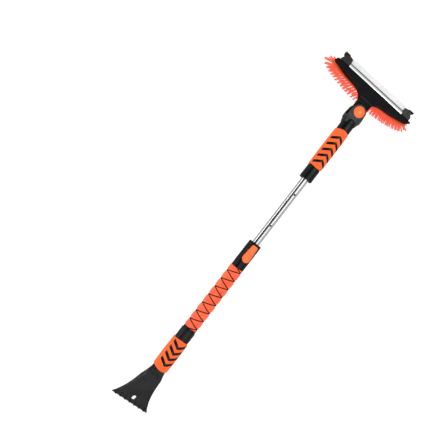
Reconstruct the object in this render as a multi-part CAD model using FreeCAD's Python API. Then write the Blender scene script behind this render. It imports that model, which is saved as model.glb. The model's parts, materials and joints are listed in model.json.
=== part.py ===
import FreeCAD, Part
import math
import os

# Telescopic snow brush with an ice scraper. Millimetres.
# The tool lies along X with the brush head at +X and the scraper at -X. Its front, the side
# with the buttons, looks up (+Z), and the bristles point down. Stations along X are measured
# from the mouth of the lock housing and heights called w from the pole's axis; every piece is
# moved by ORIGIN_SHIFT and AXIS_HEIGHT when it is saved, which centres the whole tool.

V = FreeCAD.Vector
AXIS_HEIGHT = 44.0
ORIGIN_SHIFT = 2.5
THROUGH = 40.0            # reach of the outlines that pass right through a piece

# ---- stations along the tool ----
X_EDGE = -495.0           # ice-breaker teeth
X_BLADE = -493.5          # scraping edge
X_SCRAPER_GRIP = (-377.0, -290.0)
X_SCRAPER_MOUTH = -261.0
X_SPIGOT_END = -311.0     # blind end of the lower plug
X_TUBE_LOW = -270.0       # lower end of the outer tube
X_FOAM = (-256.0, -73.0)
X_TUBE_TOP = -56.0        # upper end of the outer tube
X_THROAT = 0.0            # mouth of the lock housing
X_INNER_TAIL = -80.0
X_UPPER_COLLAR = 195.0
X_INNER_TOP = 212.0
X_HANDLE_MOUTH = 209.5
X_UPPER_PLUG_END = 259.0
X_BRUSH_GRIP = (230.0, 342.0)
X_PIVOT = 400.0
X_LIP = 90.0              # squeegee lip, ahead of the pivot

# ---- pole ----
R_OUTER_TUBE = 12.5
R_OUTER_BORE = 11.3
R_INNER_TUBE = 9.5
R_INNER_BORE = 8.3
R_GUIDE = 11.25
GUIDE_SETBACK = 0.5
R_FOAM = 17.3
FOAM_BULGE = 0.7
FOAM_PERIODS = 7
R_HOUSING = 16.75
R_HOUSING_BORE = 9.75
R_THROAT_BORE = 9.58
R_THROAT_BUSH = 12.5
THROAT_BUSH_LENGTH = 4.0
R_LOWER_SPIGOT = 14.5
R_UPPER_SPIGOT = 13.0
RUN = 0.08                # radial running clearance of sliding and turning fits
DETENT_X = (-39.0, 55.0, 149.0)
R_DETENT = 2.3

# ---- length lock ----
LEVER_X = (-53.0, -6.0)
LEVER_MOUTH_HALF = 7.7     # half width at the mouth end
R_LEVER_ROUND = 10.4       # radius of the wide end
LEVER_POCKET_GAP = 0.6
LEVER_POCKET_FLOOR = 10.6
LEVER_PIVOT = (-24.0, 12.8)
R_LEVER_PIN = 1.2
LEVER_PIN_HALF = 10.4
R_LEVER_TOP = 18.2
LOCK_PIN_X = -39.4
R_LOCK_PIN = 1.5
LOCK_PIN_TIP = 9.7
LEVER_SPRING_X = -11.5

# ---- snap buttons that hold the two tools on the pole ----
X_LOWER_SNAP = -281.0
X_UPPER_SNAP = 221.0
R_SNAP = 4.0
R_SNAP_WINDOW = 4.2
SNAP_BORE_TOP = 7.5

# ---- scraper ----
R_COLLAR = 18.5
R_SCRAPER_CORE = 17.5
R_SCRAPER_GRIP = 21.0
BLADE_HALF_OUTLINE = (
    (X_BLADE, 53.0), (-479.0, 43.5), (-462.0, 35.3), (-440.0, 28.0), (-406.0, 21.3), (-368.0, 17.4),
)
BLADE_TOP = (
    (X_BLADE, -24.0), (-473.0, -16.0), (-443.0, -4.6), (-413.0, 6.2), (-392.0, 12.6), (-368.0, 17.0),
)
BLADE_BOTTOM = (
    (-368.0, -17.0), (-392.0, -18.4), (-413.0, -20.2), (-443.0, -22.8), (-473.0, -25.4), (X_BLADE, -26.8),
)
NECK_ROUND = (
    (X_BLADE, 80.0), (-460.0, 56.0), (-430.0, 37.0), (-405.0, 25.0), (-385.0, 19.0), (-368.0, 17.4),
)
BLADE_WALL = 3.2
POCKET_END = -483.5        # the hollow under the blade stops short of the edge
RIB_COUNT = 7
RIB_PITCH = 14.0
RIB_WIDTH = 3.6
SLOT_X = -476.0
SLOT_WIDTH = 8.5
SLOT_LENGTH = 13.5

# ---- grips ----
GRIP_END_SAG = 5.0
GRIP_BARREL = 0.7
CHEVRON_SLOPE = 0.66
CHEVRON_RECESS = 0.4
SCRAPER_CHEVRONS = (-363.7, -347.1, -330.5, -313.9)
SCRAPER_CHEVRON_REACH = 17.2
SCRAPER_CHEVRON_THICK = 8.2
BRUSH_CHEVRONS = (255.7, 273.3, 290.9, 308.5, 326.1)
BRUSH_CHEVRON_REACH = 16.6
BRUSH_CHEVRON_THICK = 7.6

# ---- brush handle and pivot ----
R_HANDLE = 16.75
R_HANDLE_CORE = 15.5
R_BRUSH_GRIP = 18.7
YOKE_TOP = 14.0
YOKE_BOTTOM = -16.0
YOKE_HALF_WIDTH = 19.3
R_EAR = 18.0
EAR_GAP = 8.0
TONGUE = 7.9
GAP_START = X_PIVOT - 19.0
R_HUB = 8.0
HUB_END = -4.5
R_BUTTON = 14.0
BUTTON_FLOOR = 9.5
BUTTON_DOME = 17.5
R_STEM = 5.0
R_STEM_END = 3.0
GEAR_TEETH = 12
R_GEAR_ROOT = 9.0
R_GEAR_TIP = 11.0
TOOTH = ((-0.30, R_GEAR_ROOT), (-0.17, R_GEAR_TIP), (0.17, R_GEAR_TIP), (0.30, R_GEAR_ROOT))
GEAR_W = (-12.7, -8.2)
GEAR_POCKET_FLOOR = -13.2
TONGUE_POCKET_ROOF = -4.7
R_CAP_DISC = 11.0
CAP_W = (-17.8, -16.0, -14.8)

# ---- brush head, measured from the pivot ----
HEAD_TOP = 10.0
HEAD_BOTTOM = -8.0
HEAD_REAR = (
    (16.5, 21.0), (17.2, 28.0), (25.0, 38.0), (45.0, 46.0), (75.0, 50.0), (106.0, 56.5),
    (118.0, 59.5), (122.5, 63.0),
)
CHANNEL_X = (66.0, 75.5)
CHANNEL_W = (-2.0, 11.0)
CHANNEL_HALF = 88.5
CHANNEL_SLOPE = (69.7, 8.6)     # the face slopes from here down to the front wall
CHANNEL_BORE = (68.0, 73.5, 0.0, 7.6)
CHANNEL_MOUTH = (73.5, 75.5, 3.0, 6.0)
CHANNEL_GROOVE = (73.6, 74.7, 8.2, 11.0)
SHELF_HALF = 111.0
SQUEEGEE_HALF = 88.4
OVAL_X = 57.0
BASE_OVAL = (124.0, 14.8)
FLARE_X = 60.5             # the bristles lean forward as they spread
FLARE_OVAL = (140.0, 29.5)
FLARE_W = -28.0
TIP_OVAL = (131.0, 22.5)
BASE_W = (-14.0, -8.0)
TIP_W = -44.0
LIP_OPENING = (80.0, 8.8)
FLANGE = (84.0, 10.8)
TUFT_OPENING = (85.5, 12.0)
TUFT_OPENING_LOW = (90.0, 11.0)
PLATE_BOTTOM = -17.0
PLATE_SCREW_Y = (-50.0, 0.0, 50.0)
R_SCREW = 1.6
R_SCREW_HEAD = 3.0


def turned(points):
    """Solid turned about the pole's axis from (x, radius) corners, closed along the axis."""
    corners = [V(points[0][0], 0, 0)] + [V(x, 0, r) for x, r in points] + [V(points[-1][0], 0, 0)]
    face = Part.Face(Part.makePolygon(corners + corners[:1]))
    return face.revolve(V(0, 0, 0), V(1, 0, 0), 360)


def rod(radius, x0, x1):
    return Part.makeCylinder(radius, x1 - x0, V(x0, 0, 0), V(1, 0, 0))


def post(radius, x, y, w0, w1):
    return Part.makeCylinder(radius, w1 - w0, V(x, y, w0), V(0, 0, 1))


def block(x0, x1, y0, y1, w0, w1):
    return Part.makeBox(x1 - x0, y1 - y0, w1 - w0, V(x0, y0, w0))


def plan(points, w0, w1):
    """Prism standing on a plan outline of (x, y) corners."""
    corners = [V(x, y, w0) for x, y in points]
    return Part.Face(Part.makePolygon(corners + corners[:1])).extrude(V(0, 0, w1 - w0))


def side(points, half_width, y=0.0):
    """Prism across the tool on a side outline of (x, w) corners."""
    corners = [V(x, y - half_width, w) for x, w in points]
    return Part.Face(Part.makePolygon(corners + corners[:1])).extrude(V(0, 2 * half_width, 0))


def curve(points):
    spline = Part.BSplineCurve()
    spline.interpolate(points)
    return spline.toShape()


def oval(half_length, half_width, w, x=OVAL_X):
    """Closed oval wire under the brush head, long across the tool."""
    centre = V(X_PIVOT + x, 0, w)
    ring = Part.Ellipse(centre + V(0, half_length, 0), centre + V(half_width, 0, 0), centre)
    return Part.Wire(ring.toShape())


def oval_prism(size, w0, w1):
    return Part.Face(oval(size[0], size[1], w0)).extrude(V(0, 0, w1 - w0))


def toothed(gap, w0, w1):
    """Straight-toothed prism on the pivot's axis, grown all round by gap."""
    pitch = 2 * math.pi / GEAR_TEETH
    points = []
    for tooth in range(GEAR_TEETH):
        for share, radius in TOOTH:
            spread = math.copysign(gap / radius, share)
            angle = (tooth + share) * pitch + spread
            points.append((X_PIVOT + (radius + gap) * math.cos(angle), (radius + gap) * math.sin(angle)))
    return plan(points, w0, w1)


def coil(x, radius, wire, w0, w1, turns):
    """Compression spring standing between two heights."""
    low = w0 + wire
    rise = w1 - w0 - 2 * wire
    path = Part.makeHelix(rise / turns, rise, radius)
    path.translate(V(x, 0, low))
    section = Part.Wire(Part.makeCircle(wire, V(x + radius, 0, low), V(0, 1, 0)))
    return Part.Wire(path.Edges).makePipeShell([section], True, True)


def chevrons(apexes, reach, thick, way):
    """V-shaped prisms through a grip; way is the direction along X in which they point."""
    pieces = []
    for apex in apexes:
        end = apex - way * reach * CHEVRON_SLOPE
        back = -way * thick
        outline = [
            (apex, 0), (end, reach), (end + back, reach),
            (apex + back, 0), (end + back, -reach), (end, -reach),
        ]
        pieces.append(plan(outline, -THROUGH, THROUGH))
    return pieces[0].multiFuse(pieces[1:])


def scraper_chevrons():
    return chevrons(SCRAPER_CHEVRONS, SCRAPER_CHEVRON_REACH, SCRAPER_CHEVRON_THICK, -1)


def brush_chevrons():
    return chevrons(BRUSH_CHEVRONS, BRUSH_CHEVRON_REACH, BRUSH_CHEVRON_THICK, 1)


def bowed_ends(x0, x1, half_width):
    """Plan prism whose two ends bow outwards by GRIP_END_SAG."""
    side0 = x0 + GRIP_END_SAG
    side1 = x1 - GRIP_END_SAG
    low = Part.Arc(V(side0, half_width, -THROUGH), V(x0, 0, -THROUGH), V(side0, -half_width, -THROUGH))
    high = Part.Arc(V(side1, -half_width, -THROUGH), V(x1, 0, -THROUGH), V(side1, half_width, -THROUGH))
    near = Part.makeLine(V(side0, -half_width, -THROUGH), V(side1, -half_width, -THROUGH))
    far = Part.makeLine(V(side1, half_width, -THROUGH), V(side0, half_width, -THROUGH))
    outline = Part.Wire([low.toShape(), near, high.toShape(), far])
    return Part.Face(outline).extrude(V(0, 0, 2 * THROUGH))


def sleeve(x0, x1, inner, outer):
    """Soft grip sleeve, a little barrelled, with bowed ends."""
    middle = (x0 + x1) / 2
    end = outer - GRIP_BARREL
    crown = Part.Arc(V(x0, 0, end), V(middle, 0, outer), V(x1, 0, end)).toShape()
    sides = Part.makePolygon([V(x1, 0, end), V(x1, 0, inner), V(x0, 0, inner), V(x0, 0, end)])
    body = Part.Face(Part.Wire([crown] + sides.Edges)).revolve(V(0, 0, 0), V(1, 0, 0), 360)
    return body.common(bowed_ends(x0, x1, outer + 1))


def outer_tube():
    return rod(R_OUTER_TUBE, X_TUBE_LOW, X_TUBE_TOP).cut(rod(R_OUTER_BORE, X_TUBE_LOW, X_TUBE_TOP))


def foam_grip():
    """Foam sleeve with one soft bulge between each pair of grooves."""
    x0, x1 = X_FOAM
    steps = FOAM_PERIODS * 4
    top = []
    for i in range(steps + 1):
        phase = 2 * math.pi * i * FOAM_PERIODS / steps
        top.append(V(x0 + (x1 - x0) * i / steps, 0, R_FOAM - FOAM_BULGE * math.cos(phase) / 2))
    ends = Part.makePolygon([top[-1], V(x1, 0, R_OUTER_TUBE), V(x0, 0, R_OUTER_TUBE), top[0]])
    return Part.Face(Part.Wire([curve(top)] + ends.Edges)).revolve(V(0, 0, 0), V(1, 0, 0), 360)


def snap_bore(x):
    return post(R_SNAP + RUN, x, 0, -30, SNAP_BORE_TOP)


def snap_button(x, plug_radius):
    """Round button, pressed in flush with its plug, its end rounded like the plug."""
    return post(R_SNAP, x, 0, -20, -5.0).common(rod(plug_radius - 0.1, x - 6, x + 6))


def lower_plug():
    body = turned([
        (X_SPIGOT_END, R_LOWER_SPIGOT - 1.5), (X_SPIGOT_END + 1.5, R_LOWER_SPIGOT),
        (X_SCRAPER_MOUTH, R_LOWER_SPIGOT), (X_SCRAPER_MOUTH, 17.0), (X_FOAM[0], 17.0),
    ])
    return body.cut(rod(R_OUTER_TUBE, X_TUBE_LOW, X_FOAM[0])).cut(snap_bore(X_LOWER_SNAP))


def lever_outline(grow):
    """Plan of the release lever: square at the mouth end, wider and round at the foam end."""
    half = LEVER_MOUTH_HALF + grow
    wide = R_LEVER_ROUND + grow
    centre = LEVER_X[0] + R_LEVER_ROUND
    mouth = LEVER_X[1] + grow
    bar = plan([
        (centre, -wide), (mouth - 2.0, -half), (mouth, 2.0 - half),
        (mouth, half - 2.0), (mouth - 2.0, half), (centre, wide),
    ], LEVER_POCKET_FLOOR, 25)
    return bar.fuse(post(wide, centre, 0, LEVER_POCKET_FLOOR, 25))


def lock_housing():
    body = turned([
        (X_FOAM[1], R_HOUSING), (X_THROAT - 1.2, R_HOUSING), (X_THROAT, R_HOUSING - 1.2),
    ])
    body = body.cut(rod(R_OUTER_TUBE, X_FOAM[1], X_TUBE_TOP))
    body = body.cut(rod(R_HOUSING_BORE, X_TUBE_TOP, X_THROAT))
    body = body.cut(rod(R_THROAT_BUSH, X_THROAT - THROAT_BUSH_LENGTH, X_THROAT))
    body = body.cut(lever_outline(LEVER_POCKET_GAP))
    body = body.cut(post(R_DETENT, LOCK_PIN_X, 0, 5, 20))
    return body.cut(lever_axle())


def lever_axle():
    x, w = LEVER_PIVOT
    return Part.makeCylinder(R_LEVER_PIN, 2 * LEVER_PIN_HALF, V(x, -LEVER_PIN_HALF, w), V(0, 1, 0))


def release_lever():
    x, w = LEVER_PIVOT
    body = lever_outline(0).common(rod(R_LEVER_TOP, LEVER_X[0], LEVER_X[1]))
    under = side([
        (LEVER_X[1] + 1, 12.2), (x + 4, 11.2), (x - 4, 11.2), (LEVER_X[0] - 1, 15.0),
        (LEVER_X[0] - 1, 0), (LEVER_X[1] + 1, 0),
    ], 20)
    body = body.cut(under)
    body = body.cut(Part.makeCylinder(R_LEVER_PIN + RUN, 40, V(x, -20, w), V(0, 1, 0)))
    body = body.cut(post(3.8, LEVER_SPRING_X, 0, 5, 15.0))
    return body.cut(post(R_LOCK_PIN, LOCK_PIN_X, 0, 5, 16.0))


def lock_pin():
    shank = post(R_LOCK_PIN, LOCK_PIN_X, 0, LOCK_PIN_TIP + 0.5, 16.0)
    tip = Part.makeCone(R_LOCK_PIN - 0.5, R_LOCK_PIN, 0.5, V(LOCK_PIN_X, 0, LOCK_PIN_TIP), V(0, 0, 1))
    return shank.fuse(tip)


def throat_bush():
    x0 = X_THROAT - THROAT_BUSH_LENGTH
    return rod(R_THROAT_BUSH, x0, X_THROAT).cut(rod(R_THROAT_BORE, x0, X_THROAT))


def inner_tube():
    body = rod(R_INNER_TUBE, X_INNER_TAIL, X_INNER_TOP).cut(rod(R_INNER_BORE, X_INNER_TAIL, X_INNER_TOP))
    for x in DETENT_X:
        body = body.cut(post(R_DETENT, x, 0, 0, 20))
    return body


def inner_guide_bush():
    top = X_TUBE_TOP - GUIDE_SETBACK
    return rod(R_GUIDE, X_INNER_TAIL, top).cut(rod(R_INNER_TUBE, X_INNER_TAIL, top))


def upper_plug():
    body = turned([
        (X_UPPER_COLLAR, 15.8), (X_UPPER_COLLAR + 1.2, 16.9), (X_HANDLE_MOUTH - 0.2, 16.9),
        (X_HANDLE_MOUTH - 0.2, R_UPPER_SPIGOT), (X_UPPER_PLUG_END - 1.5, R_UPPER_SPIGOT),
        (X_UPPER_PLUG_END, R_UPPER_SPIGOT - 1.5),
    ])
    return body.cut(rod(R_INNER_TUBE, X_UPPER_COLLAR, X_INNER_TOP)).cut(snap_bore(X_UPPER_SNAP))


def blade_solid(inset, drop):
    """Flared blade: its plan outline met with its side profile."""
    outline = [(x, h - inset) for x, h in BLADE_HALF_OUTLINE]
    left = curve([V(x, h, -40) for x, h in outline])
    right = curve([V(x, -h, -40) for x, h in outline])
    tip = Part.makeLine(V(outline[0][0], -outline[0][1], -40), V(outline[0][0], outline[0][1], -40))
    root = Part.makeLine(V(outline[-1][0], outline[-1][1], -40), V(outline[-1][0], -outline[-1][1], -40))
    flare = Part.Face(Part.Wire([tip, left, root, right])).extrude(V(0, 0, 80))
    top = curve([V(x, -60, w - drop) for x, w in BLADE_TOP])
    bottom = Part.makePolygon([V(x, -60, w - drop) for x, w in BLADE_BOTTOM])
    ends = [
        Part.makeLine(V(BLADE_TOP[-1][0], -60, BLADE_TOP[-1][1] - drop), bottom.Vertexes[0].Point),
        Part.makeLine(bottom.Vertexes[-1].Point, V(BLADE_TOP[0][0], -60, BLADE_TOP[0][1] - drop)),
    ]
    profile = Part.Face(Part.Wire(Part.__sortEdges__([top] + bottom.Edges + ends)))
    neck = [curve([V(x, 0, r - inset) for x, r in NECK_ROUND])]
    x0, x1 = NECK_ROUND[0][0], NECK_ROUND[-1][0]
    neck += Part.makePolygon([
        V(x1, 0, NECK_ROUND[-1][1] - inset), V(x1, 0, 0), V(x0, 0, 0), V(x0, 0, NECK_ROUND[0][1] - inset),
    ]).Edges
    rounding = Part.Face(Part.Wire(neck)).revolve(V(0, 0, 0), V(1, 0, 0), 360)
    return flare.common(profile.extrude(V(0, 120, 0))).common(rounding)


def ice_ribs():
    """Short ribs that stand on the blade's face and end in teeth past its edge."""
    ribs = []
    for i in range(RIB_COUNT):
        y = (i - (RIB_COUNT - 1) / 2) * RIB_PITCH
        ribs.append(side([
            (X_EDGE, -26.2), (X_EDGE, -24.2), (X_EDGE + 3, -21.2), (X_EDGE + 9, -17.8),
            (X_EDGE + 13, -18.6), (X_EDGE + 13, -20.4), (X_EDGE + 3, -25.6),
        ], RIB_WIDTH / 2, y))
    return ribs


def scraper_head():
    socket = turned([
        (-376.0, 15.0), (-366.0, R_SCRAPER_CORE), (X_SCRAPER_GRIP[1], R_SCRAPER_CORE),
        (X_SCRAPER_GRIP[1], R_COLLAR), (X_SCRAPER_MOUTH - 2.5, R_COLLAR),
        (X_SCRAPER_MOUTH, R_COLLAR - 1.6),
    ])
    pocket = blade_solid(BLADE_WALL, BLADE_WALL).common(block(POCKET_END, -396, -60, 60, -60, 30))
    web = block(-469, -396, -1.4, 1.4, -22.0, 20)
    body = socket.multiFuse([blade_solid(0, 0)] + ice_ribs())
    body = body.cut(pocket.cut(web))
    body = body.cut(sleeve(*X_SCRAPER_GRIP, R_SCRAPER_CORE, R_SCRAPER_GRIP))
    body = body.cut(rod(R_LOWER_SPIGOT + RUN, X_SPIGOT_END - 1, X_SCRAPER_MOUTH))
    body = body.cut(post(R_SNAP_WINDOW, X_LOWER_SNAP, 0, -30, -10))
    reach = (SLOT_LENGTH - SLOT_WIDTH) / 2
    slot = block(SLOT_X - reach, SLOT_X + reach, -SLOT_WIDTH / 2, SLOT_WIDTH / 2, -40, 0)
    for end in (-reach, reach):
        slot = slot.fuse(post(SLOT_WIDTH / 2, SLOT_X + end, 0, -40, 0))
    body = body.cut(slot)
    band = sleeve(*X_SCRAPER_GRIP, R_SCRAPER_CORE, R_SCRAPER_GRIP - CHEVRON_RECESS)
    return body.fuse(scraper_chevrons().common(band))


def scraper_grip():
    body = sleeve(X_SCRAPER_GRIP[0], X_SCRAPER_GRIP[1], R_SCRAPER_CORE, R_SCRAPER_GRIP)
    return body.cut(scraper_chevrons())


def brush_handle():
    barrel = turned([
        (X_HANDLE_MOUTH, R_HANDLE - 0.3), (X_HANDLE_MOUTH + 0.3, R_HANDLE), (X_BRUSH_GRIP[0], R_HANDLE),
        (X_BRUSH_GRIP[0], R_HANDLE_CORE), (X_BRUSH_GRIP[1], R_HANDLE_CORE), (X_BRUSH_GRIP[1], R_HANDLE),
        (X_PIVOT - 28.0, R_HANDLE), (X_PIVOT - 24.0, YOKE_TOP),
    ])
    yoke_half = [
        (X_PIVOT - 38.0, 14.0), (X_PIVOT - 28.0, R_HANDLE), (X_PIVOT - 24.5, YOKE_HALF_WIDTH),
        (X_PIVOT - 12.0, YOKE_HALF_WIDTH), (X_PIVOT, R_EAR),
    ]
    outline = yoke_half + [(x, -y) for x, y in reversed(yoke_half)]
    yoke = plan(outline, YOKE_BOTTOM, YOKE_TOP).fuse(post(R_EAR, X_PIVOT, 0, YOKE_BOTTOM, YOKE_TOP))
    body = barrel.fuse(yoke)
    body = body.cut(block(GAP_START, X_PIVOT + 40, -40, 40, -EAR_GAP, EAR_GAP))
    body = body.fuse(post(R_HUB, X_PIVOT, 0, HUB_END, EAR_GAP + 0.5))
    body = body.cut(post(R_STEM + RUN, X_PIVOT, 0, HUB_END, 20))
    body = body.cut(post(R_BUTTON + RUN, X_PIVOT, 0, BUTTON_FLOOR, 20))
    body = body.cut(toothed(0.1, GEAR_POCKET_FLOOR, -EAR_GAP))
    body = body.cut(post(R_HUB, X_PIVOT, 0, YOKE_BOTTOM, GEAR_POCKET_FLOOR))
    body = body.cut(rod(R_UPPER_SPIGOT + RUN, X_HANDLE_MOUTH, X_UPPER_PLUG_END + 1))
    body = body.cut(post(R_SNAP_WINDOW, X_UPPER_SNAP, 0, -30, -10))
    band = sleeve(*X_BRUSH_GRIP, R_HANDLE_CORE, R_BRUSH_GRIP - CHEVRON_RECESS)
    return body.fuse(brush_chevrons().common(band))


def brush_grip():
    body = sleeve(X_BRUSH_GRIP[0], X_BRUSH_GRIP[1], R_HANDLE_CORE, R_BRUSH_GRIP)
    return body.cut(brush_chevrons())


def pivot_back_cap():
    disc = post(R_CAP_DISC, X_PIVOT, 0, CAP_W[0] + 0.6, CAP_W[1])
    rim = Part.makeCone(R_CAP_DISC - 1.2, R_CAP_DISC, 0.6, V(X_PIVOT, 0, CAP_W[0]), V(0, 0, 1))
    return disc.multiFuse([rim, post(R_HUB, X_PIVOT, 0, CAP_W[1], CAP_W[2])])


def pivot_button():
    """Domed push button on the stem that carries the lock gear."""
    skirt = post(R_BUTTON, X_PIVOT, 0, BUTTON_FLOOR + 0.2, YOKE_TOP + 0.4)
    rise = BUTTON_DOME - YOKE_TOP - 0.4
    ball_radius = (R_BUTTON ** 2 + rise ** 2) / (2 * rise)
    ball = Part.makeSphere(ball_radius, V(X_PIVOT, 0, BUTTON_DOME - ball_radius))
    dome = ball.common(post(R_BUTTON, X_PIVOT, 0, YOKE_TOP + 0.4, BUTTON_DOME + 1))
    stem = post(R_STEM, X_PIVOT, 0, GEAR_W[1], BUTTON_FLOOR + 0.2)
    return skirt.multiFuse([dome, stem, post(R_STEM_END, X_PIVOT, 0, GEAR_W[0], GEAR_W[1])])


def lock_gear():
    return toothed(0, *GEAR_W).cut(post(R_STEM_END, X_PIVOT, 0, *GEAR_W))


def head_body():
    """Round tongue, neck and two slender wings, with a shelf under the squeegee channel."""
    tongue = post(R_EAR, X_PIVOT, 0, -TONGUE, TONGUE)
    neck = block(X_PIVOT, X_PIVOT + 24, -HEAD_REAR[0][0], HEAD_REAR[0][0], -TONGUE, TONGUE)
    rear = [V(X_PIVOT + x, y, HEAD_BOTTOM) for y, x in HEAD_REAR]
    mirrored = [V(p.x, -p.y, p.z) for p in rear]
    front = X_PIVOT + CHANNEL_X[0]
    tip = HEAD_REAR[-1][0] - 2.0
    ends = [rear[-1], V(front, tip, HEAD_BOTTOM), V(front, -tip, HEAD_BOTTOM), mirrored[-1]]
    edges = [curve(rear), curve(mirrored), Part.makeLine(rear[0], mirrored[0])]
    edges += Part.makePolygon(ends).Edges
    wings = Part.Face(Part.Wire(Part.__sortEdges__(edges))).extrude(V(0, 0, HEAD_TOP - HEAD_BOTTOM))
    shelf = block(front - 1, X_PIVOT + CHANNEL_X[1], -SHELF_HALF, SHELF_HALF, HEAD_BOTTOM, CHANNEL_W[0])
    shelf = shelf.cut(plan([(front + 6, 124), (front + 20, 124), (front + 20, 95)], -20, 20))
    shelf = shelf.cut(plan([(front + 6, -124), (front + 20, -124), (front + 20, -95)], -20, 20))
    body = tongue.multiFuse([neck, wings, shelf])
    body = body.cut(post(R_HUB + RUN, X_PIVOT, 0, -20, 20))
    body = body.cut(toothed(0.1, -TONGUE - 1, TONGUE_POCKET_ROOF))
    for y in PLATE_SCREW_Y:
        body = body.cut(post(R_SCREW, X_PIVOT + OVAL_X, y, HEAD_BOTTOM, 2.0))
    return body


def bristle_block():
    """Moulded oval base with the flared mass of bristles under it."""
    base = oval_prism(BASE_OVAL, *BASE_W)
    flare = oval(*FLARE_OVAL, FLARE_W, FLARE_X)
    upper = Part.makeLoft([oval(*BASE_OVAL, BASE_W[0]), flare], True)
    lower = Part.makeLoft([flare, oval(*TIP_OVAL, TIP_W, FLARE_X)], True)
    opening = oval(*TUFT_OPENING_LOW, TIP_W, FLARE_X)
    hollow = Part.makeLoft([oval(*TUFT_OPENING, BASE_W[0]), opening], True)
    return base.cut(oval_prism(LIP_OPENING, *BASE_W)).fuse(upper.fuse(lower).cut(hollow))


def bristle_plate():
    flange = oval_prism(FLANGE, PLATE_BOTTOM, BASE_W[0])
    boss = oval_prism(LIP_OPENING, *BASE_W)
    body = flange.fuse(boss)
    for y in PLATE_SCREW_Y:
        body = body.cut(post(R_SCREW, X_PIVOT + OVAL_X, y, PLATE_BOTTOM, HEAD_BOTTOM))
    return body


def plate_screws():
    """Three pan-head screws with crossed drives."""
    screws = []
    for y in PLATE_SCREW_Y:
        x = X_PIVOT + OVAL_X
        head = post(R_SCREW_HEAD, x, y, PLATE_BOTTOM - 1.6, PLATE_BOTTOM)
        head = head.cut(block(x - 2, x + 2, y - 0.4, y + 0.4, PLATE_BOTTOM - 1.6, PLATE_BOTTOM - 0.7))
        head = head.cut(block(x - 0.4, x + 0.4, y - 2, y + 2, PLATE_BOTTOM - 1.6, PLATE_BOTTOM - 0.7))
        screws.append(head.fuse(post(R_SCREW, x, y, PLATE_BOTTOM, 2.0)))
    return Part.makeCompound(screws)


def squeegee_channel():
    """Aluminium extrusion with a keyhole slot for the rubber and one groove along its face."""
    x0, x1 = CHANNEL_X
    w0, w1 = CHANNEL_W
    knee, nose = CHANNEL_SLOPE
    outline = [(x0, w0), (x1, w0), (x1, nose), (knee, w1), (x0, w1)]
    body = side([(X_PIVOT + x, w) for x, w in outline], CHANNEL_HALF)
    for low_x, high_x, low_w, high_w in (CHANNEL_BORE, CHANNEL_MOUTH, CHANNEL_GROOVE):
        body = body.cut(block(
            X_PIVOT + low_x, X_PIVOT + high_x, -CHANNEL_HALF, CHANNEL_HALF, low_w, high_w,
        ))
    return body


def squeegee_blade():
    """Soft lip with a bead held in the channel and a ridge just ahead of it."""
    upper = [(69.0, 7.4), (73.0, 7.4), (73.0, 5.6), (77.0, 5.6), (77.0, 6.6), (78.4, 6.6), (X_LIP, 5.0)]
    lower = [(X_LIP, 4.0), (78.4, 2.8), (77.0, 2.8), (77.0, 3.4), (73.0, 3.4), (73.0, 1.0), (69.0, 1.0)]
    return side([(X_PIVOT + x, w) for x, w in upper + lower], SQUEEGEE_HALF)


def end_clip(way):
    """Hooked black clip that closes one end of the channel."""
    x = X_PIVOT
    outline = [
        (66.0, 88.5), (76.5, 88.5), (86.0, 89.5), (87.5, 98.0), (89.9, 101.0), (89.9, 114.0),
        (83.5, 113.0), (79.5, 108.5), (74.0, 113.5), (66.0, 113.5),
    ]
    body = plan([(x + along, way * across) for along, across in outline], CHANNEL_W[0], 12.0)
    return body.cut(plan([
        (x + 82, way * 83.0), (x + 95, way * 83.0), (x + 95, way * 113.0), (x + 88, way * 113.0),
    ], 8.0, 13.0))


def save(name, shape):
    piece = shape.removeSplitter() if shape.ShapeType != "Compound" or len(shape.Solids) == 1 else shape
    piece.translate(V(ORIGIN_SHIFT, 0, AXIS_HEIGHT))
    piece.exportStep("parts/" + name + ".step")
    print(name, len(piece.Solids), piece.isValid(), round(piece.Volume))


os.makedirs("parts", exist_ok=True)

save("outer_tube", outer_tube())
save("foam_grip", foam_grip())
save("lower_plug", lower_plug())
save("lock_housing", lock_housing())
save("lever_pin", lever_axle())
save("lever_spring", coil(LEVER_SPRING_X, 3.0, 0.3, LEVER_POCKET_FLOOR, 15.0, 3))
save("throat_bush", throat_bush())
save("lower_snap_spring", coil(X_LOWER_SNAP, 3.0, 0.35, -5.0, SNAP_BORE_TOP, 6))
save("lower_snap_button", snap_button(X_LOWER_SNAP, R_LOWER_SPIGOT))
save("release_lever", release_lever())
save("lock_pin", lock_pin())
save("inner_tube", inner_tube())
save("inner_guide_bush", inner_guide_bush())
save("upper_plug", upper_plug())
save("upper_snap_spring", coil(X_UPPER_SNAP, 3.0, 0.35, -5.0, SNAP_BORE_TOP, 6))
save("upper_snap_button", snap_button(X_UPPER_SNAP, R_UPPER_SPIGOT))
save("scraper_head", scraper_head())
save("scraper_grip", scraper_grip())
save("brush_handle", brush_handle())
save("brush_grip", brush_grip())
save("pivot_back_cap", pivot_back_cap())
save("pivot_spring", coil(X_PIVOT, 5.5, 0.25, CAP_W[2], GEAR_W[0], 1.5))
save("pivot_button", pivot_button())
save("lock_gear", lock_gear())
save("head_body", head_body())
save("bristle_block", bristle_block())
save("bristle_plate", bristle_plate())
save("plate_screws", plate_screws())
save("squeegee_channel", squeegee_channel())
save("squeegee_blade", squeegee_blade())
save("left_clip", end_clip(1))
save("right_clip", end_clip(-1))
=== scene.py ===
import json
import math
import random

import bpy
from mathutils import Matrix, Vector


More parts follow.
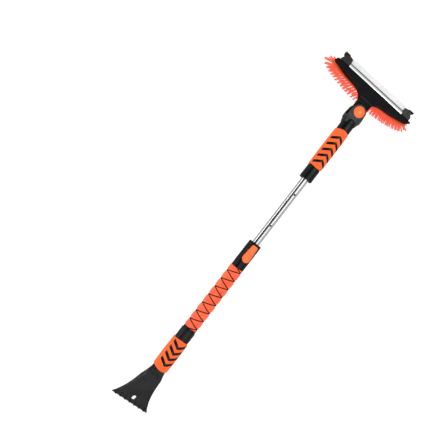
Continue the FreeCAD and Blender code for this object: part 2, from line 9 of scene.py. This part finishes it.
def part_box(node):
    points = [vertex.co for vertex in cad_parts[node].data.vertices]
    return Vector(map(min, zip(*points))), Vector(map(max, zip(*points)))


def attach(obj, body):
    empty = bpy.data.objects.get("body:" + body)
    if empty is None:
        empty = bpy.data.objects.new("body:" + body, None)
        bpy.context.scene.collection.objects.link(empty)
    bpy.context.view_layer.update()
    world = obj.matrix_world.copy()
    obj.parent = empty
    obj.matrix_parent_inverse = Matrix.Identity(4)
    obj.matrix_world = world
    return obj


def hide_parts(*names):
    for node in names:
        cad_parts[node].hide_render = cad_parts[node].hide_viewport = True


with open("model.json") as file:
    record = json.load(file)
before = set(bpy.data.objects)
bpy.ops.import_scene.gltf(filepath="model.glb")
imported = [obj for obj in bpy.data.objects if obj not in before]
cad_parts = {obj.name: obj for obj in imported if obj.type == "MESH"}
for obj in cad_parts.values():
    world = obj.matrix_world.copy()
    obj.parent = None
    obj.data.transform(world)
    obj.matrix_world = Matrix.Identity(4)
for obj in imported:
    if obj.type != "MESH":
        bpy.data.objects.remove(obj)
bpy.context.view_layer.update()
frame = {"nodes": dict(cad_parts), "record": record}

# Telescopic snow brush with an ice scraper, in metres. The tool lies along X, its front looks up.

MM = 0.001
random.seed(11)
nodes = frame["nodes"]


def middle(node):
    low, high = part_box(node)
    return (low + high) / 2


AXIS_Z = middle("inner_tube").z
PIVOT_X = middle("lock_gear").x


# ---------- materials ----------

def srgb(text):
    """Linear colour of a hex triplet."""
    parts = [int(text[i:i + 2], 16) / 255 for i in (0, 2, 4)]
    return [c / 12.92 if c <= 0.04045 else ((c + 0.055) / 1.055) ** 2.4 for c in parts] + [1.0]


def graph(name):
    material = bpy.data.materials.new(name)
    material.use_nodes = True
    tree = material.node_tree
    shader = tree.nodes["Principled BSDF"]
    where = tree.nodes.new("ShaderNodeTexCoord")
    return material, tree, shader, where.outputs["Object"]


def stretched(tree, where, scale):
    mapping = tree.nodes.new("ShaderNodeMapping")
    mapping.inputs["Scale"].default_value = scale
    tree.links.new(where, mapping.inputs["Vector"])
    return mapping.outputs["Vector"]


def noise(tree, where, scale, detail=3.0, rough=0.55):
    node = tree.nodes.new("ShaderNodeTexNoise")
    node.inputs["Scale"].default_value = scale
    node.inputs["Detail"].default_value = detail
    node.inputs["Roughness"].default_value = rough
    tree.links.new(where, node.inputs["Vector"])
    return node.outputs["Fac"]


def spread(tree, value, low, high, start=0.3, end=0.7):
    """Maps the middle of a noise onto a range of values."""
    node = tree.nodes.new("ShaderNodeMapRange")
    node.inputs["From Min"].default_value = start
    node.inputs["From Max"].default_value = end
    node.inputs["To Min"].default_value = low
    node.inputs["To Max"].default_value = high
    tree.links.new(value, node.inputs["Value"])
    return node.outputs["Result"]


def mixed(tree, factor, first, second):
    node = tree.nodes.new("ShaderNodeMix")
    node.data_type = "RGBA"
    tree.links.new(factor, node.inputs["Factor"])
    for socket, value in (("A", first), ("B", second)):
        port = next(i for i in node.inputs if i.name == socket and i.type == "RGBA")
        if isinstance(value, list):
            port.default_value = value
        else:
            tree.links.new(value, port)
    return next(o for o in node.outputs if o.type == "RGBA")


def bumped(tree, shader, height, distance, strength=1.0, under=None):
    node = tree.nodes.new("ShaderNodeBump")
    node.inputs["Distance"].default_value = distance
    node.inputs["Strength"].default_value = strength
    tree.links.new(height, node.inputs["Height"])
    if under is not None:
        tree.links.new(under, node.inputs["Normal"])
    tree.links.new(node.outputs["Normal"], shader.inputs["Normal"])
    return node.outputs["Normal"]


def shaded(colour, factor):
    """The same colour, made darker or lighter."""
    return [min(1.0, c * factor) for c in colour[:3]] + [1.0]


EDGE_START, EDGE_END = 0.53, 0.60     # pointiness where the wear starts and where it is full


def worn_edges(tree):
    """1 on worn outer edges, 0 elsewhere."""
    geometry = tree.nodes.new("ShaderNodeNewGeometry")
    return spread(tree, geometry.outputs["Pointiness"], 0.0, 1.0, EDGE_START, EDGE_END)


PATCH_SCALE = 22.0        # blotches of colour per metre
SMUDGE_SCALE = 60.0       # duller and shinier spots per metre
COARSER = 9               # how many times wider the second grain is than the first


def moulded(name, colour, edge, rough, grain, depth, blotch=0.08, shine=0.5):
    """Moulded plastic or soft rubber: fine grain, patchy sheen and lighter rubbed edges."""
    material, tree, shader, where = graph(name)
    patches = noise(tree, where, PATCH_SCALE, 4.0)
    dark, light = shaded(colour, 1 - blotch), shaded(colour, 1 + blotch)
    base = mixed(tree, spread(tree, patches, 0, 1), dark, light)
    base = mixed(tree, worn_edges(tree), base, edge)
    tree.links.new(base, shader.inputs["Base Color"])
    smudge = noise(tree, where, SMUDGE_SCALE, 5.0)
    tree.links.new(spread(tree, smudge, rough - 0.07, rough + 0.09), shader.inputs["Roughness"])
    fine = bumped(tree, shader, noise(tree, where, grain, 2.0), depth)
    bumped(tree, shader, noise(tree, where, grain / COARSER, 3.0), depth * 1.5, 0.5, fine)
    shader.inputs["Specular IOR Level"].default_value = shine
    return material


def foam_material():
    """Matt closed-cell foam with fine pores and an uneven tone."""
    material, tree, shader, where = graph("foam")
    cells = tree.nodes.new("ShaderNodeTexVoronoi")
    cells.inputs["Scale"].default_value = 1400.0
    tree.links.new(where, cells.inputs["Vector"])
    tone = noise(tree, where, 90.0, 4.0)
    base = mixed(tree, spread(tree, tone, 0, 1), srgb("F5552E"), srgb("FF6E46"))
    tree.links.new(base, shader.inputs["Base Color"])
    shader.inputs["Roughness"].default_value = 0.82
    shader.inputs["Sheen Weight"].default_value = 0.12
    shader.inputs["Sheen Roughness"].default_value = 0.5
    fine = bumped(tree, shader, cells.outputs["Distance"], 0.00012)
    bumped(tree, shader, tone, 0.0004, 0.4, fine)
    return material


def metal(name, colour, rough, streak, along, depth):
    """Drawn or brushed metal, its fine lines running along one axis."""
    material, tree, shader, where = graph(name)
    shader.inputs["Metallic"].default_value = 1.0
    lines = noise(tree, stretched(tree, where, along), streak, 4.0, 0.7)
    dull = noise(tree, where, 35.0, 4.0)
    base = mixed(tree, spread(tree, lines, 0, 1), shaded(colour, 0.95), colour)
    tree.links.new(base, shader.inputs["Base Color"])
    both = tree.nodes.new("ShaderNodeMath")
    both.operation = "ADD"
    tree.links.new(spread(tree, lines, 0.0, 0.04), both.inputs[0])
    tree.links.new(spread(tree, dull, rough - 0.03, rough + 0.05), both.inputs[1])
    tree.links.new(both.outputs[0], shader.inputs["Roughness"])
    bumped(tree, shader, lines, depth)
    return material


def bristle_material(name, root, tip, low_z, high_z):
    """Slightly see-through coral bristles, more orange at the roots, each a little different, with a faint
    painted glow that makes them look brighter and lit through.
    """
    material, tree, shader, where = graph(name)
    parts = tree.nodes.new("ShaderNodeSeparateXYZ")
    tree.links.new(where, parts.inputs["Vector"])
    height = spread(tree, parts.outputs["Z"], 0, 1, low_z, high_z)
    base = mixed(tree, height, srgb(tip), srgb(root))
    patch = noise(tree, stretched(tree, where, (1.0, 1.0, 0.15)), 420.0, 2.0)
    base = mixed(tree, spread(tree, patch, 0.0, 0.45), base, srgb("FFB0A0"))
    tree.links.new(base, shader.inputs["Base Color"])
    tree.links.new(spread(tree, patch, 0.34, 0.5), shader.inputs["Roughness"])
    shader.inputs["Subsurface Weight"].default_value = 0.3
    shader.inputs["Subsurface Radius"].default_value = (0.004, 0.002, 0.001)
    # Painted glow: the bristles give off a little light in their own colour.
    tree.links.new(base, shader.inputs["Emission Color"])
    shader.inputs["Emission Strength"].default_value = 0.22
    bumped(tree, shader, patch, 0.0001)
    glow = tree.nodes.new("ShaderNodeBsdfTranslucent")
    tree.links.new(base, glow.inputs["Color"])
    both = tree.nodes.new("ShaderNodeMixShader")
    both.inputs["Fac"].default_value = 0.3
    tree.links.new(shader.outputs["BSDF"], both.inputs[1])
    tree.links.new(glow.outputs["BSDF"], both.inputs[2])
    tree.links.new(both.outputs["Shader"], tree.nodes["Material Output"].inputs["Surface"])
    return material


def squeegee_material():
    """Milky see-through silicone with a faint painted white glow."""
    material, tree, shader, where = graph("squeegee_rubber")
    cloud = noise(tree, where, 40.0, 4.0)
    base = mixed(tree, spread(tree, cloud, 0, 1), srgb("EDEEEF"), srgb("F5F5F5"))
    tree.links.new(base, shader.inputs["Base Color"])
    tree.links.new(spread(tree, cloud, 0.3, 0.42), shader.inputs["Roughness"])
    shader.inputs["Transmission Weight"].default_value = 0.2
    shader.inputs["IOR"].default_value = 1.41
    shader.inputs["Subsurface Weight"].default_value = 0.2
    # Painted glow: the rubber gives off a little white light, so it looks whiter.
    shader.inputs["Emission Color"].default_value = (1, 1, 1, 1)
    shader.inputs["Emission Strength"].default_value = 0.04
    bumped(tree, shader, noise(tree, stretched(tree, where, (1, 0.05, 1)), 900.0, 2.0), 0.00003)
    return material


BLACK = moulded("black_plastic", srgb("08090A"), srgb("1A1A1C"), 0.34, 2600.0, 0.00005, 0.1, 0.28)
HEAD_BLACK = moulded("head_black", srgb("101213"), srgb("222425"), 0.5, 2200.0, 0.00007, 0.1, 0.06)
GRIP = moulded("orange_grip", srgb("FF6423"), srgb("FF7E42"), 0.55, 1500.0, 0.00010, 0.06, 0.3)
BUTTON = moulded("button_orange", srgb("FF7232"), srgb("FF8E55"), 0.26, 3000.0, 0.00003, 0.05)
FOAM = foam_material()
LINE = moulded("foam_line", srgb("0C0605"), srgb("1A0C0A"), 0.8, 2400.0, 0.00008, 0.15, 0.1)
# Dark material for the painted shade in the squeegee channel's groove.
GROOVE_SHADE = moulded("groove_painted_shade", srgb("161617"), srgb("1E1E20"), 0.8, 2400.0, 0.00005, 0.15, 0.1)
TUBE = metal("aluminium", srgb("F1F2F4"), 0.12, 600.0, (0.02, 1, 1), 0.000001)
OUTER = metal("outer_aluminium", srgb("C9CBCE"), 0.3, 900.0, (0.02, 1, 1), 0.00001)
CHANNEL = metal("channel_aluminium", srgb("F6F7F8"), 0.2, 500.0, (1, 0.01, 1), 0.000001)
STEEL = metal("steel", srgb("B8B9BC"), 0.26, 1500.0, (1, 1, 0.2), 0.00001)
SPRING = metal("spring_steel", srgb("A3A4A8"), 0.22, 1500.0, (1, 1, 1), 0.00001)
NYLON = moulded("nylon", srgb("DAD7CE"), srgb("EFEDE6"), 0.45, 2400.0, 0.00005)
RUBBER = squeegee_material()
BRISTLE = bristle_material("bristle", "FF6430", "FF7064", AXIS_Z - 0.040, AXIS_Z - 0.012)
BRISTLE_BASE = moulded("bristle_base", srgb("F4571F"), srgb("FF7A48"), 0.42, 2400.0, 0.00006)

FINISH = {
    "black_plastic": BLACK, "head_black": HEAD_BLACK, "orange_grip": GRIP, "foam": FOAM,
    "button_orange": BUTTON, "bristle": BRISTLE, "aluminium": TUBE, "outer_aluminium": OUTER,
    "channel_aluminium": CHANNEL, "steel": STEEL, "spring_steel": SPRING, "nylon": NYLON,
    "squeegee_rubber": RUBBER,
}


# ---------- carried-over CAD pieces ----------

# Width of the small rounded edges, in millimetres.
ROUNDING = {
    "head_body": 1.3, "scraper_head": 0.5, "brush_handle": 0.3, "lock_housing": 0.5, "lower_plug": 0.4,
    "upper_plug": 0.2, "scraper_grip": 0.22, "brush_grip": 0.22, "release_lever": 0.8, "pivot_button": 0.5,
    "left_clip": 0.8, "right_clip": 0.8, "squeegee_channel": 0.35, "squeegee_blade": 0.3,
    "bristle_plate": 0.6, "plate_screws": 0.25, "pivot_back_cap": 0.4, "throat_bush": 0.2,
    "inner_tube": 0.2, "lower_snap_button": 0.3, "upper_snap_button": 0.3,
}


def dress(node, material):
    """Gives a CAD piece its material and rounded edges."""
    piece = nodes[node]
    piece.data.materials.clear()
    piece.data.materials.append(material)
    for polygon in piece.data.polygons:
        polygon.use_smooth = True
    if "custom_normal" in piece.data.attributes:
        piece.data.attributes.remove(piece.data.attributes["custom_normal"])
    weld = piece.modifiers.new("weld", "WELD")
    weld.merge_threshold = 0.002 * MM
    bevel = piece.modifiers.new("bevel", "BEVEL")
    bevel.width = ROUNDING.get(node, 0.1) * MM
    bevel.segments = 3
    bevel.limit_method = "ANGLE"
    bevel.angle_limit = math.radians(32)
    bevel.harden_normals = True


for row in frame["record"]["subparts"]:
    dress(row["node"], FINISH[row["material_slot"]])


# Painted shade: the channel's groove and outer lip get the dark material in place of their shadow.
GROOVE_X = (73.5 * MM, 75.6 * MM)     # from the pivot, groove and lip
GROOVE_FLOOR = 8.2 * MM               # over the axis
SLACK = 0.5 * MM


def darken_groove():
    """The channel's groove and its outer lip get a dark material, painted shade that draws a shadow line
    along the metal.
    """
    channel = nodes["squeegee_channel"]
    channel.data.materials.append(GROOVE_SHADE)
    low, high = GROOVE_X
    for polygon in channel.data.polygons:
        corners = [channel.data.vertices[i].co for i in polygon.vertices]
        across = all(low < corner.x - PIVOT_X < high for corner in corners)
        if across and min(corner.z for corner in corners) > AXIS_Z + GROOVE_FLOOR - SLACK:
            polygon.material_index = 1


darken_groove()


# ---------- mesh helpers ----------

def piece_from(name, verts, faces, material, body):
    """Makes a smooth piece that rides on a body."""
    mesh = bpy.data.meshes.new(name)
    mesh.from_pydata([tuple(v) for v in verts], [], faces)
    mesh.validate()
    mesh.materials.append(material)
    for polygon in mesh.polygons:
        polygon.use_smooth = True
    piece = bpy.data.objects.new(name, mesh)
    bpy.context.scene.collection.objects.link(piece)
    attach(piece, body)
    return piece


OFF_AXIS = Vector((0.31, 0.87, 0.12))     # a direction that no bristle runs along


def swept(verts, faces, path, radii, sides, wide=1.0, across=None):
    """Adds a closed tube along a path; wide stretches it sideways."""
    start = len(verts)
    last = len(path) - 1
    for i, point in enumerate(path):
        ahead = (path[min(i + 1, last)] - path[max(i - 1, 0)]).normalized()
        out = across[i] if across else OFF_AXIS
        right = ahead.cross(out).normalized()
        up = right.cross(ahead).normalized()
        for k in range(sides):
            angle = 2 * math.pi * k / sides
            sideways = right * (math.cos(angle) * radii[i] * wide)
            outward = up * (math.sin(angle) * radii[i])
            verts.append(point + sideways + outward)
    for i in range(last):
        for k in range(sides):
            a = start + i * sides + k
            b = start + i * sides + (k + 1) % sides
            faces.append((a, b, b + sides, a + sides))
    faces.append(tuple(start + k for k in reversed(range(sides))))
    faces.append(tuple(start + last * sides + k for k in range(sides)))


# ---------- foam grip: zigzag grooves pressed into soft foam ----------

FOAM_LOW, FOAM_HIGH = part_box("foam_grip")
FOAM_X0, FOAM_X1 = FOAM_LOW.x, FOAM_HIGH.x
FOAM_R = 16.6 * MM
FOAM_CORE = 12.5 * MM
ZIG_PITCH = 24.2 * MM
ZIG_FIRST = FOAM_X0 + 19.5 * MM
ZIG_REACH = 0.999                 # sine of the angle at which the zigzag turns back
ZIG_TURN = math.radians(17.5)     # the zigzag is centred this far round from the front
LEG_SLANT = 0.94                  # turns a distance along the pole into one square to a leg
PUFF, PUFF_REACH = 1.4 * MM, 5 * MM           # swelling between the legs
PRESS, PRESS_REACH = 0.5 * MM, 1.7 * MM       # groove under the cord
ROLL, ROLL_REACH = 1.5 * MM, 2.2 * MM         # rounding of the sleeve's ends
FOAM_RINGS, FOAM_SIDES = 366, 180
CORD_LIFT = 0.35 * MM
CORD_RADIUS = 0.5 * MM
CORD_WIDE = 2.3
CORD_SIDES = 10
CORD_END_GAP = 0.8 * MM
CORD_STEPS = 24                   # points on each leg


def zig(x):
    """Sideways place of the zigzag at a station, from -1 (right) to 1 (left)."""
    share = ((x - ZIG_FIRST) / ZIG_PITCH) % 1.0
    return 1 - 4 * share if share < 0.5 else 4 * share - 3


def zig_distance(x, angle):
    """Distance on the foam's surface to the nearest leg, measured square to the leg."""
    side = max(-ZIG_REACH, min(ZIG_REACH, math.sin(angle - ZIG_TURN)))
    best = 1.0
    for k in range(-1, 2):
        corner = ZIG_FIRST + (round((x - ZIG_FIRST) / ZIG_PITCH) + k) * ZIG_PITCH
        for way in (-1, 1):
            leg_x = corner + way * (1 - side / ZIG_REACH) * ZIG_PITCH / 4
            best = min(best, abs(x - leg_x) * LEG_SLANT)
    return best


def foam_radius(x, angle):
    gap = zig_distance(x, angle)
    end = min(x - FOAM_X0, FOAM_X1 - x)
    puff = PUFF * (1 - math.exp(-(gap / PUFF_REACH) ** 2))
    groove = PRESS * math.exp(-(gap / PRESS_REACH) ** 2)
    roll = ROLL * max(0.0, 1 - end / ROLL_REACH) ** 2
    return FOAM_R + puff - groove - roll


def build_foam():
    """Hollow sleeve whose radius follows the bulges and grooves."""
    rings, sides = FOAM_RINGS, FOAM_SIDES
    verts, faces = [], []
    for i in range(rings + 1):
        x = FOAM_X0 + (FOAM_X1 - FOAM_X0) * i / rings
        for k in range(sides):
            angle = 2 * math.pi * k / sides
            r = foam_radius(x, angle)
            verts.append((x, math.sin(angle) * r, AXIS_Z + math.cos(angle) * r))
    for x in (FOAM_X0, FOAM_X1):
        for k in range(sides):
            angle = 2 * math.pi * k / sides
            verts.append((x, math.sin(angle) * FOAM_CORE, AXIS_Z + math.cos(angle) * FOAM_CORE))
    inner0 = (rings + 1) * sides
    inner1 = inner0 + sides
    for k in range(sides):
        n = (k + 1) % sides
        for i in range(rings):
            faces.append((i * sides + k, i * sides + n, (i + 1) * sides + n, (i + 1) * sides + k))
        faces.append((inner0 + k, inner0 + n, n, k))
        faces.append((rings * sides + k, rings * sides + n, inner1 + n, inner1 + k))
        faces.append((inner1 + k, inner1 + n, inner0 + n, inner0 + k))
    foam = piece_from("foam_sleeve", verts, faces, FOAM, "pole")
    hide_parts("foam_grip")


def build_cord():
    """Dark cord in the groove, one zigzag on the front and one on the back."""
    verts, faces = [], []
    half = ZIG_PITCH / 2
    legs = int((FOAM_X1 - FOAM_X0) / half) + 3
    for behind in (False, True):
        path, normals = [], []
        for leg in range(-1, legs):
            for s in range(CORD_STEPS):
                x = ZIG_FIRST + (leg - 2 + s / CORD_STEPS) * half
                if not FOAM_X0 + CORD_END_GAP < x < FOAM_X1 - CORD_END_GAP:
                    continue
                around = math.asin(zig(x) * ZIG_REACH)
                angle = ZIG_TURN + (math.pi - around if behind else around)
                r = foam_radius(x, angle) + CORD_LIFT
                normal = Vector((0, math.sin(angle), math.cos(angle)))
                path.append(Vector((x, 0, AXIS_Z)) + normal * r)
                normals.append(normal)
        swept(verts, faces, path, [CORD_RADIUS] * len(path), CORD_SIDES, CORD_WIDE, normals)
    piece_from("foam_line", verts, faces, LINE, "pole")


# ---------- bristles ----------

# Ovals are given by their half-widths in millimetres: across the pole, then along it.
OVAL_X = PIVOT_X + 57 * MM
BASE_TOP = AXIS_Z - 8.0 * MM
BASE_BOTTOM = AXIS_Z - 14.0 * MM
BASE_OVAL = (124.0, 14.8)
OPENING = (80.0, 8.8)
BASE_AROUND = 192
OVAL_SAMPLES = 720


def oval_point(a, b, t, x=OVAL_X):
    return Vector((x + math.cos(t) * b * MM, math.sin(t) * a * MM, 0))


def even_angles(a, b, count, shift):
    """Angles that space points evenly around an oval."""
    samples = OVAL_SAMPLES
    lengths = [0.0]
    for i in range(samples):
        p = oval_point(a, b, 2 * math.pi * i / samples)
        q = oval_point(a, b, 2 * math.pi * (i + 1) / samples)
        lengths.append(lengths[-1] + (q - p).length)
    angles, i = [], 0
    for k in range(count):
        target = lengths[-1] * (((k + shift) / count) % 1.0)
        i = next(j for j in range(samples) if lengths[j + 1] >= target)
        part = (target - lengths[i]) / (lengths[i + 1] - lengths[i])
        angles.append(2 * math.pi * (i + part) / samples)
    return angles


def build_bristle_base():
    """Moulded ring with rolled edges around the plate's opening."""
    outline = [
        (OPENING, 0.0, BASE_TOP), (BASE_OVAL, -1.4, BASE_TOP),
        (BASE_OVAL, -0.4, BASE_TOP - 0.5 * MM), (BASE_OVAL, 0.0, BASE_TOP - 1.6 * MM),
        (BASE_OVAL, 0.0, BASE_BOTTOM + 1.6 * MM), (BASE_OVAL, -0.4, BASE_BOTTOM + 0.5 * MM),
        (BASE_OVAL, -1.6, BASE_BOTTOM), (OPENING, 0.6, BASE_BOTTOM),
        (OPENING, 0.0, BASE_BOTTOM + 0.6 * MM),
    ]
    around = BASE_AROUND
    verts, faces = [], []
    for (a, b), grown, z in outline:
        for k in range(around):
            p = oval_point(a + grown, b + grown, 2 * math.pi * k / around)
            verts.append((p.x, p.y, z))
    count = len(outline)
    for i in range(count):
        for k in range(around):
            n = (k + 1) % around
            j = (i + 1) % count
            faces.append((i * around + k, i * around + n, j * around + n, j * around + k))
    ring = piece_from("bristle_base", verts, faces, BRISTLE_BASE, "brush")
    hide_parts("bristle_block")


BRISTLE_ROOT_R = 0.70 * MM
BRISTLE_TIP_R = 0.42 * MM
BRISTLE_RINGS = 5
BRISTLE_SIDES = 5


def bristle(verts, faces, root, tip, sag):
    """One tapered bristle that bows a little on its way down."""
    path, radii = [], []
    for i in range(BRISTLE_RINGS):
        t = i / (BRISTLE_RINGS - 1)
        path.append(root.lerp(tip, t) + sag * math.sin(math.pi * t))
        radii.append(BRISTLE_ROOT_R + (BRISTLE_TIP_R - BRISTLE_ROOT_R) * t)
    swept(verts, faces, path, radii, BRISTLE_SIDES)


# Rows of tufts: root oval, tip oval, the tip oval's place from the pivot, tip height over the
# floor, tufts in the row, and the share of a step by which the row is shifted.
TUFT_ROWS = (
    (122.0, 13.4, 139.5, 32.0, 57.5, 17.5, 60, 0.0),
    (117.0, 11.6, 137.0, 28.5, 58.0, 9.0, 60, 0.0),
    (111.0, 10.6, 129.0, 22.0, 60.5, 2.5, 58, 0.0),
    (101.0, 10.4, 116.0, 17.5, 60.0, 0.3, 54, 0.0),
)
BRISTLES_PER_TUFT = 15
TUFT_RADIUS = 1.4 * MM
TUFT_SPIRAL = 2.4                 # radians from one bristle of a tuft to the next
ROOT_DEPTH = 0.6 * MM             # how far the roots stand in the base
TIP_SWING = 0.012                 # radians by which a tuft's tip may stray round the oval
FLARE_LEAST, FLARE_MOST = 1.3, 2.0     # millimetres by which a tuft's tips spread
UNEVEN = 2.2                      # millimetres between the highest and the lowest tips of a row
BOW_UP = 1.0                      # millimetres, at most
BOW_ASIDE = 0.4


def build_tufts():
    """Four rows of tufts, each bristle a little different in length, lean and bow."""
    verts, faces = [], []
    for root_a, root_b, tip_a, tip_b, tip_x, tip_z, count, shift in TUFT_ROWS:
        for t in even_angles(root_a, root_b, count, shift):
            foot = oval_point(root_a, root_b, t)
            centre = foot + Vector((0, 0, BASE_BOTTOM + ROOT_DEPTH))
            swung = t + random.uniform(-TIP_SWING, TIP_SWING)
            end = oval_point(tip_a, tip_b, swung, PIVOT_X + tip_x * MM)
            lean = (end - foot).normalized()
            aside = Vector((-lean.y, lean.x, 0))
            for k in range(BRISTLES_PER_TUFT):
                r = math.sqrt((k + 0.5) / BRISTLES_PER_TUFT)
                turn = k * TUFT_SPIRAL + t
                spot = (lean * math.cos(turn) + aside * math.sin(turn)) * r
                root = centre + spot * TUFT_RADIUS
                flare = spot * random.uniform(FLARE_LEAST, FLARE_MOST) * MM
                tip = end + flare + Vector((0, 0, (tip_z + random.uniform(0.0, UNEVEN)) * MM))
                bow = Vector((0, 0, random.uniform(0.0, BOW_UP) * MM))
                bow += aside * random.uniform(-BOW_ASIDE, BOW_ASIDE) * MM
                bristle(verts, faces, root, tip, bow)
    piece_from("bristle_tufts", verts, faces, BRISTLE, "brush")


build_foam()
build_cord()
build_bristle_base()
build_tufts()


# ---------- stage ----------

FLOOR_HALF = 30.0
FLOOR_GLOW = 0.85
MIRRORED_GLOW = 0.05      # the same glow, as shiny things reflect it


def build_stage():
    """Pale flat floor, far past the picture's edges. It glows, so that shadows on it are faint."""
    mesh = bpy.data.meshes.new("floor")
    corners = [(x * FLOOR_HALF, y * FLOOR_HALF, 0) for x, y in ((-1, -1), (1, -1), (1, 1), (-1, 1))]
    mesh.from_pydata(corners, [], [(0, 1, 2, 3)])
    floor = bpy.data.objects.new("floor", mesh)
    bpy.context.scene.collection.objects.link(floor)
    material, tree, shader, where = graph("floor")
    tone = noise(tree, where, 3.0, 2.0)
    base = mixed(tree, spread(tree, tone, 0, 1), srgb("9E9E9E"), srgb("A4A4A4"))
    tree.links.new(base, shader.inputs["Base Color"])
    shader.inputs["Emission Color"].default_value = (1, 1, 1, 1)
    path = tree.nodes.new("ShaderNodeLightPath")
    glow = spread(tree, path.outputs["Is Glossy Ray"], FLOOR_GLOW, MIRRORED_GLOW, 0.0, 1.0)
    tree.links.new(glow, shader.inputs["Emission Strength"])
    shader.inputs["Roughness"].default_value = 0.9
    mesh.materials.append(material)


CAMERA_AT = Vector((-0.0205, 0.4135, AXIS_Z + 1.288))
CAMERA_LOOK = Vector((-0.0029, 0.1273, AXIS_Z))
CAMERA_UP = Vector((0.7906, 0.5999, -0.1225))
CAMERA_LENS = 47.2
CAMERA_SENSOR = 36.0


def build_camera():
    data = bpy.data.cameras.new("camera")
    data.lens = CAMERA_LENS
    data.sensor_width = CAMERA_SENSOR
    camera = bpy.data.objects.new("camera", data)
    back = (CAMERA_AT - CAMERA_LOOK).normalized()
    right = CAMERA_UP.cross(back).normalized()
    up = back.cross(right)
    turn = Matrix((right, up, back)).transposed().to_4x4()
    camera.matrix_world = Matrix.Translation(CAMERA_AT) @ turn
    bpy.context.scene.collection.objects.link(camera)
    bpy.context.scene.camera = camera


# Brightness that shiny surfaces see around the tool's axis, by degrees from straight up towards +Y.
# It starts straight below, at -180 degrees, with BELOW.
BELOW = 0.3
SOFTBOXES = (
    (-100, 0.55), (-68, 0.65), (-62, 0.02), (-46, 0.02), (-41, 1.0), (-20, 1.1), (10, 1.1), (18, 0.6),
    (26, 0.05), (45, 0.02), (66, 0.08), (90, 0.25), (115, 0.4), (140, 0.5),
)


def area_light(name, place, aim, size, power):
    data = bpy.data.lights.new(name, "AREA")
    data.shape = "RECTANGLE"
    data.size, data.size_y = size
    data.energy = power
    light = bpy.data.objects.new(name, data)
    light.location = place
    light.rotation_euler = (aim - place).to_track_quat("-Z", "Y").to_euler()
    bpy.context.scene.collection.objects.link(light)


build_stage()
build_camera()
TARGET = Vector((0, 0, 0.05))
KEY_AT = TARGET + Vector((-0.1, 1.5, 0.27))
SPOT_AT = Vector((1.0, -0.75, 2.0))
SPOT_AIM = TARGET + Vector((0.35, 0, 0))
area_light("key", KEY_AT, TARGET, size=(1.6, 0.22), power=4.0)
area_light("spot", SPOT_AT, SPOT_AIM, size=(0.3, 0.3), power=5.0)

# The softboxes dim towards +X: the fade starts and ends at these shares of the direction's x.
FADE_START, FADE_END = 0.4, 0.75
FADED = 0.5


def studio_world():
    """White room for diffuse light; shiny things see softboxes with dark flags between them."""
    made = bpy.data.worlds.new("world")
    made.use_nodes = True
    tree = made.node_tree
    room = tree.nodes["Background"]
    room.inputs["Color"].default_value = (1, 1, 1, 1)
    room.inputs["Strength"].default_value = 1.0
    boxes = tree.nodes.new("ShaderNodeBackground")
    where = tree.nodes.new("ShaderNodeTexCoord")
    parts = tree.nodes.new("ShaderNodeSeparateXYZ")
    tree.links.new(where.outputs["Generated"], parts.inputs["Vector"])
    turn = tree.nodes.new("ShaderNodeMath")
    turn.operation = "ARCTAN2"
    tree.links.new(parts.outputs["Y"], turn.inputs[0])
    tree.links.new(parts.outputs["Z"], turn.inputs[1])
    share = spread(tree, turn.outputs[0], 0, 1, -math.pi, math.pi)
    ramp = tree.nodes.new("ShaderNodeValToRGB")
    ramp.color_ramp.interpolation = "LINEAR"
    stops = ramp.color_ramp.elements
    while len(stops) > 1:
        stops.remove(stops[-1])
    stops[0].position = 0.0
    stops[0].color = (BELOW, BELOW, BELOW, 1)
    for degrees, grey in SOFTBOXES:
        stop = stops.new(0.5 + degrees / 360)
        stop.color = (grey, grey, grey, 1)
    tree.links.new(share, ramp.inputs["Fac"])
    tree.links.new(ramp.outputs["Color"], boxes.inputs["Color"])
    fade = spread(tree, parts.outputs["X"], 1.0, FADED, FADE_START, FADE_END)
    tree.links.new(fade, boxes.inputs["Strength"])
    path = tree.nodes.new("ShaderNodeLightPath")
    blend = tree.nodes.new("ShaderNodeMixShader")
    tree.links.new(path.outputs["Is Glossy Ray"], blend.inputs["Fac"])
    tree.links.new(room.outputs["Background"], blend.inputs[1])
    tree.links.new(boxes.outputs["Background"], blend.inputs[2])
    tree.links.new(blend.outputs["Shader"], tree.nodes["World Output"].inputs["Surface"])
    bpy.context.scene.world = made


studio_world()
bpy.context.scene.view_settings.view_transform = "Standard"
bpy.context.scene.view_settings.look = "None"
